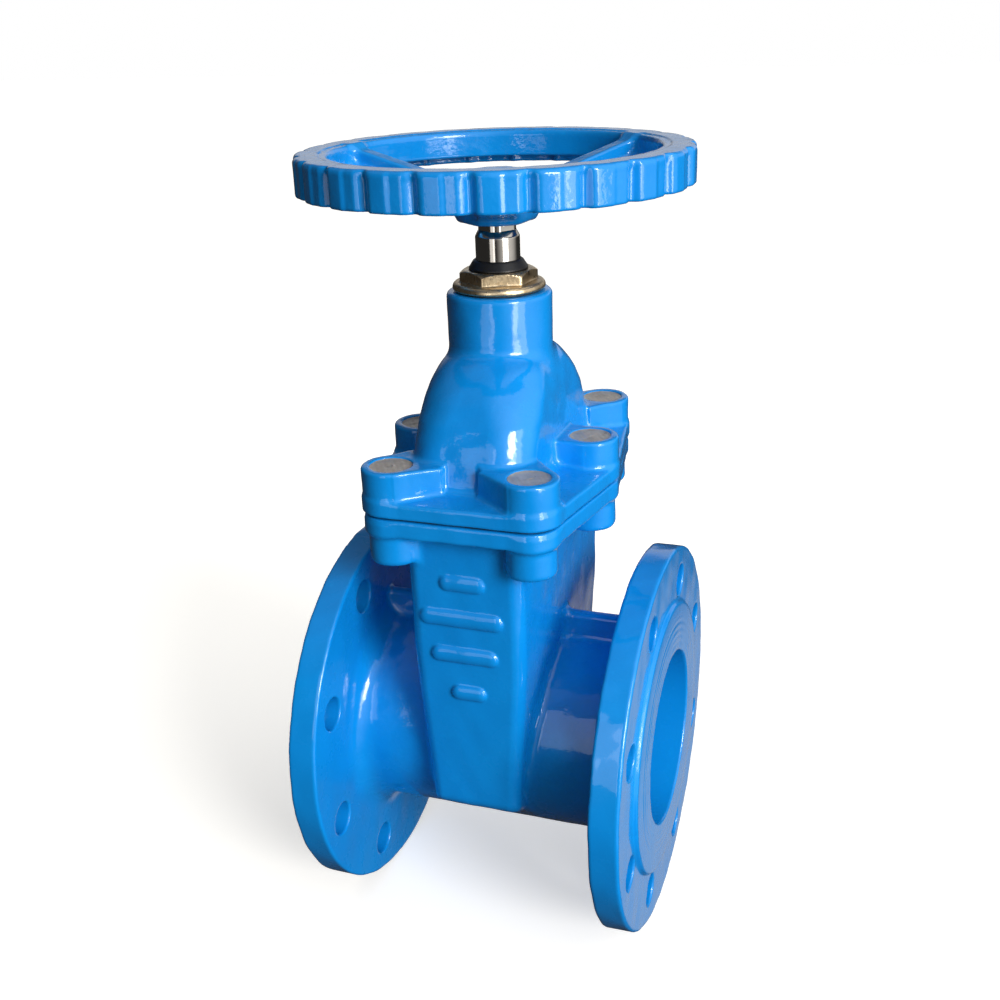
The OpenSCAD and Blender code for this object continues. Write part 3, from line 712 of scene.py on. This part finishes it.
# ---- wax over the screw heads: poured level, drawn up at the wall, with a curl where it was last touched
def wax():
    seg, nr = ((96, 40))
    t = np.linspace(0, 2 * math.pi, seg, endpoint=False)
    vs, fs = [], []
    for k, (cx, cy) in enumerate(SCREWS):
        rng = np.random.RandomState(40 + k)
        ang, off = rng.uniform(-0.7, 0.9), rng.uniform(-1.5, 1.5, 2)
        # a short comma-shaped ridge
        s = np.linspace(0, 1, 26)
        px = off[0] + (s - 0.4) * 5.2 * math.cos(ang + 0.9) + 1.3 * np.sin(s * 3.0) * math.cos(ang - 0.7)
        py = off[1] + (s - 0.4) * 5.2 * math.sin(ang + 0.9) + 1.3 * np.sin(s * 3.0) * math.sin(ang - 0.7)
        amp = 0.50 * np.sin(np.clip(s, 0, 1) * math.pi) ** 0.7 * (0.35 + 0.65 * s)
        wid = 0.30 + 0.35 * s
        def height(x, y, r):
            h = -0.55 + 0.42 * np.clip((r - 8.6) / 2.35, 0, 1) ** 2.2
            h = h + 0.05 * np.sin(x * 0.9 + k) * np.sin(y * 0.8 + 2 * k) + 0.03 * np.sin(x * 2.1 + 1.3 * y + k)
            d2 = ((x[:, None] - px) ** 2 + (y[:, None] - py) ** 2) / wid ** 2
            h = h + (amp * np.exp(-d2)).max(1)
            g = ((x + off[1] * 1.6 + 2.2) ** 2 + (y - off[0] * 1.4 + 1.8) ** 2) / 1.3
            return h - 0.16 * np.exp(-g)
        rings = [np.array([[cx, cy, 174.93]])]
        for r in (4.0, 8.0, 10.5):
            rings.append(np.stack([cx + r * np.cos(t), cy + r * np.sin(t), np.full(seg, 174.93)], 1))
        for r, z in ((10.85, 175.05), (10.93, 175.4), (10.93, 177.9)):
            rings.append(np.stack([cx + r * np.cos(t), cy + r * np.sin(t), np.full(seg, z)], 1))
        for j in range(nr + 1):
            r = 10.93 * (1 - j / nr) if j else 10.92
            if j == nr:
                x = np.zeros(1); y = np.zeros(1); rr = np.zeros(1)
            else:
                x = r * np.cos(t); y = r * np.sin(t); rr = np.full(seg, r)
            z = 179.0 + height(x, y, rr)
            rings.append(np.stack([cx + x, cy + y, z], 1))
        ob = rings_mesh("tmp_wax", rings)
        n = len(vs)
        vs += [tuple(c * 1000 for c in v.co) for v in ob.data.vertices]
        fs += [tuple(i + n for i in p.vertices) for p in ob.data.polygons]
        me = ob.data; bpy.data.objects.remove(ob); bpy.data.meshes.remove(me)
    return soften(mesh_object("screw_wax", vs, fs), 50)
make(wax(), "screw_wax_plugs", "housing")
stamp("wax")

# ---- gate: rubber over an iron core, with its nut and guide shoes (drawn open, 105 mm up)
LIFT = 105.0
def gate_shape(x, y, z, r, hw, top, k):
    zl = z - LIFT
    ay = np.abs(y); ax = np.abs(x)
    disc = np.hypot(y, np.minimum(zl, 0)) - r
    up = np.maximum(ay - r, 0 * ay - 1e3)
    side = np.where(zl < 0, disc, ay - r)
    sh = (ay - r + (zl - 40.0) * (r - 24.0) / 34.0) * 34.0 / math.hypot(34.0, r - 24.0)
    side = smax(side, np.minimum(np.where(zl > 30, sh, -50), 1e3), k)
    side = np.where(zl > 74, np.maximum(ay - 24.0, -50), side) if False else side
    neck = np.maximum(ay - 24.0, np.maximum(zl - top, 60 - zl))
    side = smin(np.maximum(side, zl - 76.0), neck, 5.0)
    f = smax(side, (ax - (hw + 0.035 * zl)) * 0.999, k)
    return smax(f, zl - top, k * 0.5)

def rubber_sdf(x, y, z):
    zl = z - LIFT
    f = gate_shape(x, y, z, 52.15, 21.95, 87.8, 3.4)
    # the face is recessed inside a raised sealing bead
    rr = np.hypot(y, np.minimum(zl, 0)); ax = np.abs(x)
    face = np.where(zl < 0, rr, np.maximum(np.abs(y), zl + 16.0))
    dish = smax(face - 36.0, 20.9 + 0.035 * zl - ax, 1.0)
    f = smax(f, -np.where(zl < 26, dish, smax(np.abs(y) - 20.0, 20.9 + 0.035 * zl - ax, 1.0) + 1e2), 1.2)
    core = gate_shape(x, y, z, 49.7, 19.5, 86.0, 2.0)
    core = np.maximum(core, 14.0 - np.hypot(x, y))
    f = np.maximum(f, -core)
    lug = np.maximum(np.maximum(np.abs(x) - 6.02, 40 - np.abs(y)), np.abs(zl - 14.0) - 19.02)
    f = np.maximum(f, -lug)
    f = smax(f, 13.0 - np.hypot(x, y), 0.6)
    nut = np.maximum(np.abs(y) - 17.3, np.abs(zl - 73.0) - 9.2)
    return smax(f, -nut, 0.6).astype(F)

def core_sdf(x, y, z):
    zl = z - LIFT
    f = gate_shape(x, y, z, 49.65, 19.45, 85.95, 2.2)
    lug = smax(smax(np.abs(x) - 6.0, np.abs(y) - 60.0, 1.2), np.abs(zl - 14.0) - 19.0, 1.2)
    f = smin(f, lug, 1.0)
    f = f + wave(x * 1.3, y * 1.3, z, F(0.04)) + 0.05
    f = smax(f, 14.0 - np.hypot(x, y), 0.8)
    nut = np.maximum(np.abs(y) - 17.3, np.abs(zl - 73.0) - 9.2)
    return smax(f, -nut, 0.8).astype(F)
gh = 1.0
casting("gate_rubber", rubber_sdf, (-27, -54, 51), (27, 54, 195), gh * 0.8, "wedge_rubber", "gate", sharp=0.03)
casting("gate_core", core_sdf, (-25, -62, 53), (25, 62, 193), gh, "wedge_core", "gate", sharp=0.03)

def nut_sdf(x, y, z):
    zl = z - LIFT
    f = rbox2(x, y, 15.95, 16.95, 2.2)
    f = smax(f, np.abs(zl - 73.0) - 8.95, 1.2)
    th = np.arctan2(y, x)
    ph = ((zl + 5.0 * th / (2 * math.pi)) / 5.0) % 1.0
    tri = np.abs(ph - 0.5) * 2
    prof = np.clip((tri - 0.35) / 0.30, 0, 1)
    bore = 11.72 + 1.9 * prof
    f = smax(f, (bore - np.hypot(x, y)) * 0.8, 0.4)
    return smax(f, (12.9 + 8.95 - np.abs(zl - 73.0) - np.hypot(x, y)) * 0.7, 0.3).astype(F)
casting("stem_nut", nut_sdf, (-17, -18, 166), (17, 18, 190), 0.42, "wedge_nut", "gate", sharp=0.03)

def shoe_sdf(x, y, z):
    zl = z - LIFT
    f = rbox2(x, zl - 14.0, 9.55, 23.95, 2.5)
    f = smax(f, np.abs(y - 57.8) - 5.5, 1.6)
    slot = np.maximum(rbox2(x, zl - 14.0, 6.1, 19.1, 1.0), y - 61.2)
    f = smax(f, -slot, 0.6)
    # oil grooves across the sliding face
    g = np.hypot(np.abs(zl - 14.0) % 12.0 - 6.0, y - 63.5) - 1.0
    return smax(f, -np.where(np.abs(zl - 14.0) < 22, g, 1e2), 0.3).astype(F)
casting("guide_shoe_back_moulded", shoe_sdf, (-11, 51, 92), (11, 65, 146), 0.5, "guide_shoe_back", "gate", sharp=0.03)
casting("guide_shoe_front_moulded", lambda x, y, z: shoe_sdf(x, -y, z), (-11, -65, 92), (11, -51, 146), 0.5, "guide_shoe_front", "gate", sharp=0.03)
stamp("gate")

# ------------------------------------------------------------------ materials
def srgb(r, g, b):
    return tuple(((c / 255) / 12.92 if c <= 10 else (((c / 255) + 0.055) / 1.055) ** 2.4) for c in (r, g, b)) + (1.0,)

class Mat:
    """Small helper around a Principled material that is textured in the object's own space."""
    def __init__(self, name, **kw):
        self.m = bpy.data.materials.new(name); self.m.use_nodes = True
        self.t = self.m.node_tree; self.n = self.t.nodes
        for q in list(self.n):
            self.n.remove(q)
        self.out = self.n.new("ShaderNodeOutputMaterial")
        self.p = self.n.new("ShaderNodeBsdfPrincipled")
        self.link(self.p.outputs[0], self.out.inputs["Surface"])
        for k, v in kw.items():
            self.p.inputs[k.replace("_", " ")].default_value = v
        self.tc = self.n.new("ShaderNodeTexCoord")
        self.co = self.tc.outputs["Object"]
        self.last = None
    def link(self, a, b):
        self.t.links.new(a, b)
    def noise(self, scale, detail=2.0, rough=0.5, dist=0.0, stretch=None):
        q = self.n.new("ShaderNodeTexNoise"); q.noise_dimensions = "3D"
        q.inputs["Scale"].default_value = scale; q.inputs["Detail"].default_value = detail
        q.inputs["Roughness"].default_value = rough; q.inputs["Distortion"].default_value = dist
        co = self.co
        if stretch:
            m = self.n.new("ShaderNodeMapping"); m.inputs["Scale"].default_value = stretch
            self.link(co, m.inputs["Vector"]); co = m.outputs[0]
        self.link(co, q.inputs["Vector"])
        return q.outputs["Fac"]
    def ramp(self, fac, stops):
        q = self.n.new("ShaderNodeValToRGB"); e = q.color_ramp.elements
        while len(e) < len(stops):
            e.new(0.5)
        for i, (pos, col) in enumerate(stops):
            e[i].position = pos
            e[i].color = col if len(col) == 4 else tuple(col) + (1.0,)
        self.link(fac, q.inputs["Fac"])
        return q.outputs["Color"]
    def range(self, fac, a, b, c, d):
        q = self.n.new("ShaderNodeMapRange")
        for i, v in zip(("From Min", "From Max", "To Min", "To Max"), (a, b, c, d)):
            q.inputs[i].default_value = v
        self.link(fac, q.inputs["Value"])
        return q.outputs[0]
    def mix(self, fac, a, b):
        q = self.n.new("ShaderNodeMix"); q.data_type = "RGBA"
        self.link(fac, q.inputs[0])
        for s, v in ((q.inputs[6], a), (q.inputs[7], b)):
            if isinstance(v, tuple):
                s.default_value = v
            else:
                self.link(v, s)
        return q.outputs[2]
    def bump(self, height, distance, strength=1.0):
        q = self.n.new("ShaderNodeBump"); q.inputs["Strength"].default_value = strength
        q.inputs["Distance"].default_value = distance
        self.link(height, q.inputs["Height"])
        if self.last is not None:
            self.link(self.last, q.inputs["Normal"])
        self.last = q.outputs["Normal"]
        return self
    def done(self, coat=True):
        if self.last is not None:
            self.link(self.last, self.p.inputs["Normal"])
            if coat and "Coat Normal" in self.p.inputs:
                self.link(self.last, self.p.inputs["Coat Normal"])
        return self.m

def paint_mat(name, turned=False, flow=1.0):
    m = Mat(name, Metallic=0.0, IOR=1.5, Specular_IOR_Level=0.10, Coat_Weight=0.85, Coat_Roughness=0.03, Coat_IOR=1.5)
    a = m.noise(14, 3, 0.55)
    b = m.noise(220, 2, 0.6)
    base = m.ramp(a, [(0.30, srgb(7, 132, 213)), (0.55, srgb(9, 137, 217)), (0.78, srgb(11, 142, 221))])
    col = m.mix(m.range(b, 0.58, 0.74, 0.0, 0.20), base, srgb(14, 151, 228))
    m.link(col, m.p.inputs["Base Color"])
    m.link(m.range(m.noise(60, 3, 0.6), 0.3, 0.7, 0.20, 0.34), m.p.inputs["Roughness"])
    # powder flow over the cast skin: long ripple, orange peel and the odd grain under the film
    grain = m.range(m.noise(760, 2, 0.5), 0.56, 0.80, 0.0, 1.0)
    peel, ripple = m.noise(330, 2, 0.55, 0.3), m.noise(95, 2, 0.5)
    if turned:
        # the flanges are turned before coating, so the film lies flatter there
        sep = m.n.new("ShaderNodeSeparateXYZ"); m.link(m.co, sep.inputs[0])
        ab = m.n.new("ShaderNodeMath"); ab.operation = "ABSOLUTE"; m.link(sep.outputs["X"], ab.inputs[0])
        k = m.range(ab.outputs[0], 0.0745, 0.0765, 1.0, 0.30)
        def times(v):
            q = m.n.new("ShaderNodeMath"); q.operation = "MULTIPLY"; m.link(v, q.inputs[0]); m.link(k, q.inputs[1])
            return q.outputs[0]
        grain, peel, ripple = times(grain), times(peel), times(ripple)
    m.bump(ripple, 0.00019 * flow); m.bump(peel, 0.00005 * flow * flow); m.bump(grain, 0.000018 * flow)
    return m.done()

def metal_mat(name, col_a, col_b, rough, scratch=(1, 1, 26), bump=0.00001, scale=60, aniso=0.0, spot=None, pit=0.0):
    m = Mat(name, Metallic=1.0, IOR=1.5, Anisotropic=aniso)
    c = m.ramp(m.noise(scale * 0.6, 3, 0.6), [(0.3, col_a), (0.7, col_b)])
    if spot:
        c = m.mix(m.range(m.noise(scale * 1.7, 4, 0.65, 0.4), 0.56, 0.68, 0.0, 0.75), c, spot)
    m.link(c, m.p.inputs["Base Color"])
    m.link(m.range(m.noise(scale * 8, 3, 0.6, 0, scratch), 0.3, 0.7, rough[0], rough[1]), m.p.inputs["Roughness"])
    m.bump(m.noise(scale * 10, 3, 0.6, 0, scratch), bump)
    if pit:
        m.bump(m.range(m.noise(scale * 14, 2, 0.55), 0.50, 0.74, 1.0, 0.0), pit)
    return m.done(coat=False)

def rubber_mat(name, dark, light, rough=(0.42, 0.62), bump=0.00005):
    m = Mat(name, Metallic=0.0, IOR=1.5, Sheen_Weight=0.0)
    c = m.ramp(m.noise(40, 4, 0.6), [(0.3, dark), (0.75, light)])
    m.link(c, m.p.inputs["Base Color"])
    m.link(m.range(m.noise(160, 3, 0.6), 0.3, 0.7, rough[0], rough[1]), m.p.inputs["Roughness"])
    m.bump(m.noise(900, 3, 0.6), bump); m.bump(m.noise(120, 2, 0.5), bump * 2)
    return m.done()

M = {}
M["blue"] = paint_mat("epoxy_blue")
M["body"] = paint_mat("epoxy_blue_body", True)
M["wheel"] = paint_mat("epoxy_blue_wheel", flow=1.45)
M["rubber"] = rubber_mat("rubber_black", srgb(15, 15, 16), srgb(31, 31, 33))
M["wiper"] = rubber_mat("rubber_wiper", srgb(8, 8, 9), srgb(17, 17, 18), (0.36, 0.52), 0.00003)
M["gasket"] = rubber_mat("rubber_gasket", srgb(12, 12, 14), srgb(22, 22, 24), (0.6, 0.8), 0.00005)
M["steel"] = metal_mat("zinc_plated_steel", srgb(186, 188, 192), srgb(208, 206, 200), (0.22, 0.36), bump=0.00001)
M["stainless"] = metal_mat("stainless_polished", srgb(178, 172, 163), srgb(200, 194, 186), (0.07, 0.14), scratch=(2, 2, 40), bump=0.000004)
M["iron"] = metal_mat("ductile_iron", srgb(74, 76, 80), srgb(108, 110, 113), (0.42, 0.6), scratch=(1, 1, 1), bump=0.0001, pit=0.00012)

def brass_mat(name, fresh, cast):
    m = Mat(name, Metallic=1.0, IOR=1.5)
    big = m.noise(55, 4, 0.62, 0.3); mid = m.noise(330, 3, 0.6)
    c = m.ramp(big, [(0.28, srgb(172, 146, 110)), (0.50, srgb(210, 188, 152)), (0.72, srgb(234, 217, 184))])
    c = m.mix(m.range(mid, 0.56, 0.70, 0.0, 0.55), c, srgb(112, 84, 52))
    m.link(c, m.p.inputs["Base Color"])
    m.link(m.range(mid, 0.3, 0.7, cast[0], cast[1]), m.p.inputs["Roughness"])
    m.bump(m.noise(420, 3, 0.6), fresh)
    m.bump(m.noise(1300, 2, 0.5), fresh * 0.3)
    return m.done(coat=False)
M["brass"] = brass_mat("brass_cast", 0.00012, (0.24, 0.40))
M["bronze"] = brass_mat("brass_turned", 0.00002, (0.16, 0.28))

def wax_mat():
    m = Mat("wax_grey", Metallic=0.0, IOR=1.44, Subsurface_Weight=0.12, Subsurface_Scale=0.002, Coat_Weight=0.25, Coat_Roughness=0.16)
    c = m.ramp(m.noise(130, 4, 0.6, 0.6), [(0.28, srgb(131, 125, 120)), (0.52, srgb(156, 150, 144)), (0.76, srgb(174, 168, 161))])
    m.link(c, m.p.inputs["Base Color"])
    m.link(m.range(m.noise(240, 3, 0.6), 0.3, 0.7, 0.26, 0.44), m.p.inputs["Roughness"])
    m.bump(m.noise(260, 3, 0.55), 0.00014)
    return m.done()
M["wax"] = wax_mat()

def polymer_mat():
    m = Mat("acetal_white", Metallic=0.0, IOR=1.48, Subsurface_Weight=0.15, Subsurface_Scale=0.003)
    c = m.ramp(m.noise(30, 3, 0.5), [(0.3, srgb(222, 218, 205)), (0.7, srgb(234, 231, 220))])
    m.link(c, m.p.inputs["Base Color"])
    m.link(m.range(m.noise(200, 3, 0.6), 0.3, 0.7, 0.34, 0.48), m.p.inputs["Roughness"])
    m.bump(m.noise(700, 2, 0.5), 0.00003)
    return m.done()
M["polymer"] = polymer_mat()

LOOK = {"body_casting": "body", "bonnet_casting": "blue", "handwheel_casting": "wheel", "bonnet_gasket_sheet": "gasket",
        "gland_nut_turned": "brass", "stem_wiper": "wiper", "gland_sealing_ring": "rubber", "stem_bush_turned": "polymer",
        "inner_seal_lower": "rubber", "inner_seal_upper": "rubber", "outer_seal": "rubber",
        "thrust_washer_upper_grooved": "bronze", "thrust_washer_lower_grooved": "bronze", "back_seal_ring": "rubber",
        "valve_stem": "stainless", "handwheel_washer": "steel", "handwheel_screw": "steel", "bonnet_socket_screws": "steel",
        "screw_wax": "wax", "gate_rubber": "rubber", "gate_core": "iron", "stem_nut": "bronze",
        "guide_shoe_back_moulded": "polymer", "guide_shoe_front_moulded": "polymer"}
for nm, k in LOOK.items():
    ob = bpy.data.objects[nm]
    ob.data.materials.clear(); ob.data.materials.append(M[k])

# ------------------------------------------------------------------ floor, light and camera
def floor():
    m = Mat("floor_pale", Metallic=0.0, IOR=1.4, Specular_IOR_Level=0.05)
    c = m.ramp(m.noise(3, 3, 0.5), [(0.3, srgb(243, 240, 233)), (0.7, srgb(247, 244, 237))])
    m.link(c, m.p.inputs["Base Color"]); m.p.inputs["Roughness"].default_value = 0.85
    m.p.inputs["Emission Color"].default_value = (1.0, 1.0, 1.0, 1.0)
    m.p.inputs["Emission Strength"].default_value = 0.46
    m.bump(m.noise(400, 2, 0.5), 0.00003); m.done()
    v = [(-9000, -9000, -110), (9000, -9000, -110), (9000, 9000, -110), (-9000, 9000, -110)]
    ob = mesh_object("floor", v, [(0, 1, 2, 3)], smooth=False)
    ob.data.materials.append(m.m)
    ob.visible_glossy = False; ob.visible_diffuse = False
floor()

def area(name, pos, target, size, power, size_y=None, color=(1, 1, 1), spread=None):
    li = bpy.data.lights.new(name, "AREA"); li.energy = power; li.color = color
    li.shape = "RECTANGLE"; li.size = size; li.size_y = size_y or size
    if spread:
        li.spread = math.radians(spread)
    ob = bpy.data.objects.new(name, li); bpy.context.scene.collection.objects.link(ob)
    ob.location = pos
    d = Vector(target) - Vector(pos)
    ob.rotation_euler = d.to_track_quat("-Z", "Y").to_euler()
    ob.visible_camera = False
    return ob

CAM_AZ, CAM_EL, CAM_ROLL, CAM_DIST = math.radians(20.087), math.radians(21.867), math.radians(-2.1), 0.694286
CAM_T = Vector((-0.003886, 0.0, 0.136432))
back = Vector((math.sin(CAM_AZ) * math.cos(CAM_EL), -math.cos(CAM_AZ) * math.cos(CAM_EL), math.sin(CAM_EL)))
right = Vector((math.cos(CAM_AZ), math.sin(CAM_AZ), 0.0))
up = back.cross(right)
R2 = math.cos(CAM_ROLL) * right + math.sin(CAM_ROLL) * up
U2 = -math.sin(CAM_ROLL) * right + math.cos(CAM_ROLL) * up
cam = bpy.data.cameras.new("camera"); cam.lens = 44.63; cam.sensor_width = 36.0; cam.clip_start = 0.01; cam.clip_end = 60
cam_ob = bpy.data.objects.new("camera", cam); bpy.context.scene.collection.objects.link(cam_ob)
mw = Matrix((R2, U2, back)).transposed().to_4x4(); mw.translation = CAM_T + back * CAM_DIST
cam_ob.matrix_world = mw
bpy.context.scene.camera = cam_ob

def polar_pos(az_deg, dist, z):
    """Point at an angle measured from the camera's side of the object, positive to its right."""
    a = math.radians(20.087 + az_deg)
    return (math.sin(a) * dist, -math.cos(a) * dist, z)

sun = bpy.data.lights.new("key_sun", "SUN"); sun.energy = 2.12; sun.angle = math.radians(20)
sun_ob = bpy.data.objects.new("key_sun", sun); bpy.context.scene.collection.objects.link(sun_ob)
sun_ob.rotation_euler = Vector((-0.740, 0.560, -0.372)).to_track_quat("-Z", "Y").to_euler()
area("panel_right", polar_pos(34, 0.66, 0.24), (0, 0, 0.20), 0.12, 1.10, 0.52)
area("panel_left", polar_pos(-20, 0.80, 0.26), (0, 0, 0.24), 0.10, 0.30, 0.60)
# two windows of the room, seen in the gloss of the film and too far off to light it
for nm, az, wd, pw in (("window_right", 40, 0.34, 1.9), ("window_left", -29, 0.30, 0.62)):
    ob = area(nm, polar_pos(az, 0.70, 0.27), (0, 0, 0.22), wd, pw, 0.52)
    ob.visible_diffuse = False
# soft fill on the side away from the key, too matt to show in the gloss
ob = area("fill_back", polar_pos(180, 0.95, 0.34), (0, 0, 0.16), 0.80, 1.9, 0.60)
ob.visible_glossy = False

def studio_world():
    """White tent, brighter overhead, with the dark room showing on the open front side."""
    w = bpy.data.worlds.new("studio"); w.use_nodes = True
    t = w.node_tree; n = t.nodes
    for q in list(n):
        n.remove(q)
    out = n.new("ShaderNodeOutputWorld"); bgn = n.new("ShaderNodeBackground")
    t.links.new(bgn.outputs[0], out.inputs["Surface"])
    tc = n.new("ShaderNodeTexCoord"); sep = n.new("ShaderNodeSeparateXYZ"); t.links.new(tc.outputs["Generated"], sep.inputs[0])
    def rng(src, a, b, c, d):
        q = n.new("ShaderNodeMapRange"); q.interpolation_type = "SMOOTHSTEP"
        for k, v in zip(("From Min", "From Max", "To Min", "To Max"), (a, b, c, d)):
            q.inputs[k].default_value = v
        t.links.new(src, q.inputs["Value"]); return q.outputs[0]
    def math_(op, a, b):
        q = n.new("ShaderNodeMath"); q.operation = op
        for s_, v in ((q.inputs[0], a), (q.inputs[1], b)):
            if isinstance(v, float):
                s_.default_value = v
            else:
                t.links.new(v, s_)
        return q.outputs[0]
    def toward(v, a, b):
        dot = n.new("ShaderNodeVectorMath"); dot.operation = "DOT_PRODUCT"
        t.links.new(tc.outputs["Generated"], dot.inputs[0]); dot.inputs[1].default_value = v
        return rng(dot.outputs["Value"], a, b, 0.0, 1.0)
    side = toward((0.86, -0.28, 0.43), 0.30, 0.98)
    rear = toward((0.10, 0.80, -0.59), 0.972, 0.991)
    top = rng(sep.outputs["Z"], 0.40, 0.95, 0.0, 1.0)
    col = math_("ADD", math_("MULTIPLY", side, 1.10), math_("MULTIPLY", top, 0.22))
    sky = math_("MULTIPLY", rng(sep.outputs["Y"], 0.62, 0.90, 0.0, 1.0), math_("MULTIPLY", rng(sep.outputs["Z"], 0.0, 0.07, 0.0, 1.0), rng(sep.outputs["Z"], 0.24, 0.46, 1.0, 0.0)))
    col = math_("ADD", math_("ADD", col, math_("MULTIPLY", rear, 0.36)), math_("ADD", math_("MULTIPLY", sky, 0.55), 0.035))
    lp = n.new("ShaderNodeLightPath")
    m = n.new("ShaderNodeMix"); m.data_type = "FLOAT"
    t.links.new(lp.outputs["Is Camera Ray"], m.inputs[0]); t.links.new(col, m.inputs[2]); m.inputs[3].default_value = 1.0
    t.links.new(m.outputs[0], bgn.inputs["Strength"])
    bgn.inputs["Color"].default_value = (1.0, 1.0, 1.0, 1.0)
    bpy.context.scene.world = w
studio_world()
vs_ = bpy.context.scene.view_settings
vs_.view_transform = "Standard"; vs_.look = "None"; vs_.exposure = 0.0; vs_.gamma = 1.0

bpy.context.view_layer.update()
stamp("done")
